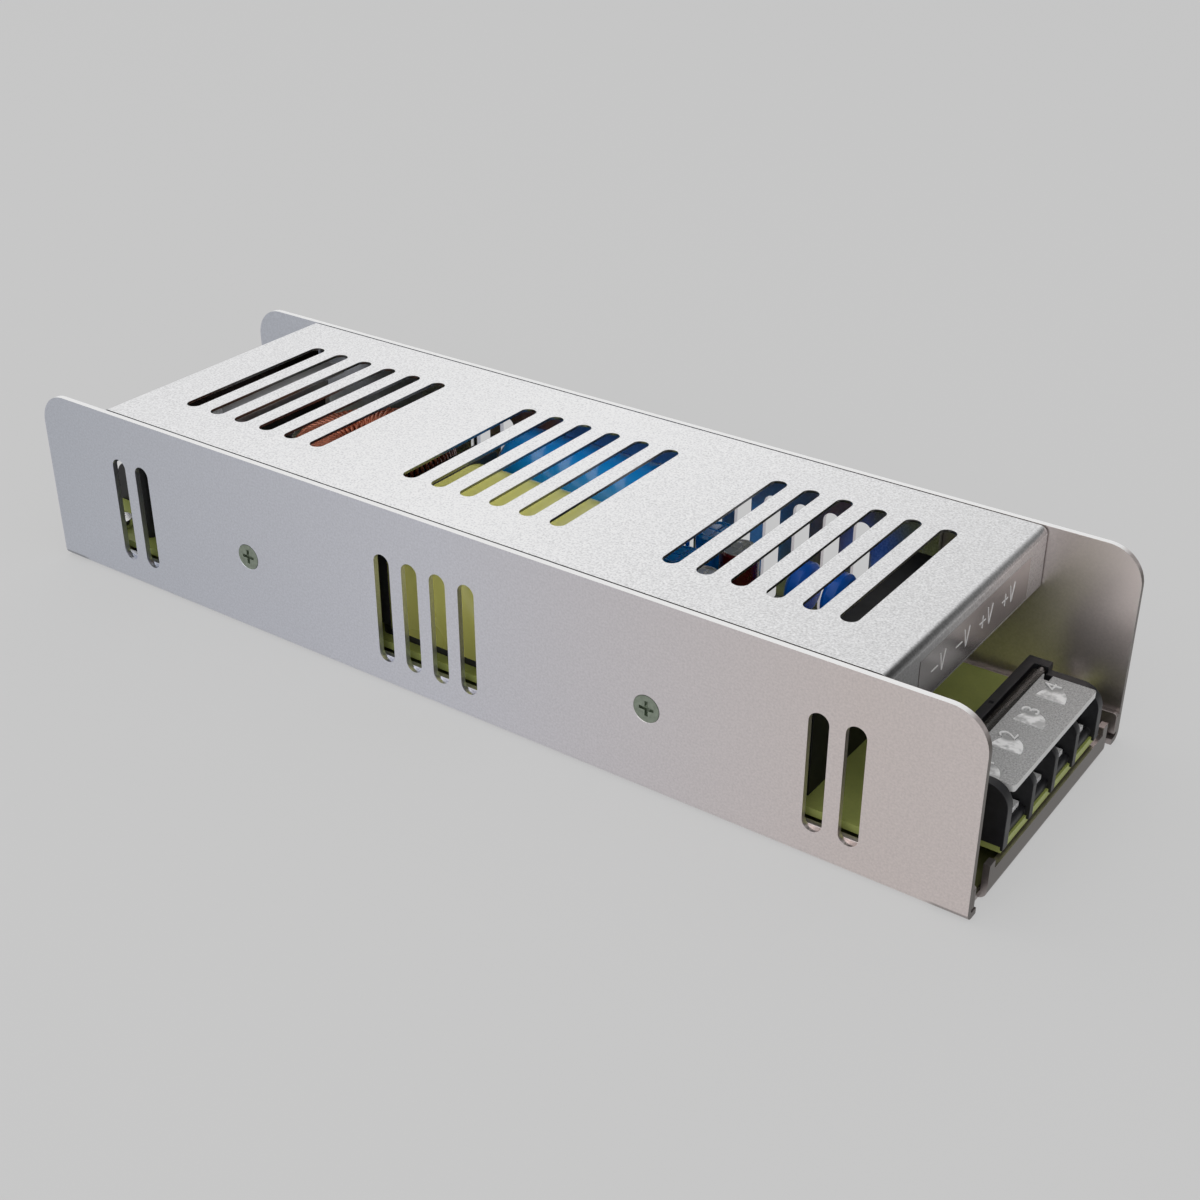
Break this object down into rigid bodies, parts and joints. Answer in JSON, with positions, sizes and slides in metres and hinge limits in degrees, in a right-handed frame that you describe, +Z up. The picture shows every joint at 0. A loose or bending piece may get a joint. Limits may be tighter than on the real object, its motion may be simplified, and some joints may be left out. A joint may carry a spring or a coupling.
{
  "type": "power supply",
  "caption": "Slim enclosed switching power supply: slotted sheet-metal case, terminal blocks with flip-up clear lids at both ends, board and parts inside.",
  "frame": {"origin": "centre of the case in X and Y, underside of the bottom plate", "axes": "+X along the case towards the output terminals, +Y across the case towards the wall with the long row of vents, +Z up through the cover"},
  "size_m": [0.222, 0.0666, 0.04],
  "materials": {
    "case_sheet": "satin bare sheet metal",
    "cover_sheet": "satin bare sheet metal, fine speckle",
    "zinc_screw": "zinc plated, greenish grey",
    "steel_bright": "bright plated",
    "film": "olive insulating film",
    "board": "olive green solder mask",
    "black_plastic": "moulded, satin",
    "rod_plastic": "dark brown, slightly translucent",
    "clear_lid": "frosted clear plastic",
    "brass_post": "plain",
    "ferrite": "black ferrite",
    "yellow_tape": "polyester tape",
    "copper_wire": "enamelled copper",
    "blue_sleeve": "blue sleeve",
    "red_sleeve": "dark red sleeve, silver top",
    "blue_epoxy": "dipped epoxy",
    "dark_epoxy": "dipped epoxy",
    "grey_plastic": "moulded box",
    "aluminium": "plain",
    "black_anodised": "black anodised"
  },
  "bodies": {
    "housing": {"chassis": "case_sheet", "base_rail_near": "case_sheet", "base_rail_far": "case_sheet", "top_cover": "cover_sheet", "cover_screws": "zinc_screw", "insulating_sheet": "film", "circuit_board": "board", "board_spacers": "brass_post", "board_screws": "steel_bright", "output_terminal_body": "black_plastic", "output_hinge_rod": "rod_plastic", "output_contacts": "steel_bright", "output_clamps": "steel_bright", "output_terminal_screws": "steel_bright", "input_terminal_body": "black_plastic", "input_hinge_rod": "rod_plastic", "input_contacts": "steel_bright", "input_clamps": "steel_bright", "input_terminal_screws": "steel_bright", "transformer_core": "ferrite", "transformer_winding": "yellow_tape", "transformer_base": "black_plastic", "choke_core": "ferrite", "choke_winding": "copper_wire", "choke_base": "black_plastic", "bulk_capacitor": "blue_sleeve", "capacitor_cradle": "black_plastic", "filter_capacitor_1": "red_sleeve", "filter_capacitor_2": "red_sleeve", "smoothing_capacitor_1": "blue_sleeve", "smoothing_capacitor_2": "blue_sleeve", "disc_capacitor_1": "blue_epoxy", "disc_capacitor_2": "blue_epoxy", "thermistor": "dark_epoxy", "fuse": "black_plastic", "line_capacitor": "grey_plastic", "rectifier_bracket": "aluminium", "bridge_rectifier": "black_plastic", "rectifier_screw": "steel_bright", "output_heatsink": "black_anodised", "output_diode_1": "black_plastic", "output_diode_2": "black_plastic"},
    "output_lid": {"output_terminal_lid": "clear_lid"},
    "input_lid": {"input_terminal_lid": "clear_lid"}
  },
  "joints": [
    {"name": "output_lid_hinge", "type": "hinge", "parent": "housing", "child": "output_lid", "pos_m": [0.0991, 0, 0.0174], "axis": [0, -1, 0], "range_deg": [0, 105]},
    {"name": "input_lid_hinge", "type": "hinge", "parent": "housing", "child": "input_lid", "pos_m": [-0.0991, 0, 0.0174], "axis": [0, 1, 0], "range_deg": [0, 105]}
  ]
}
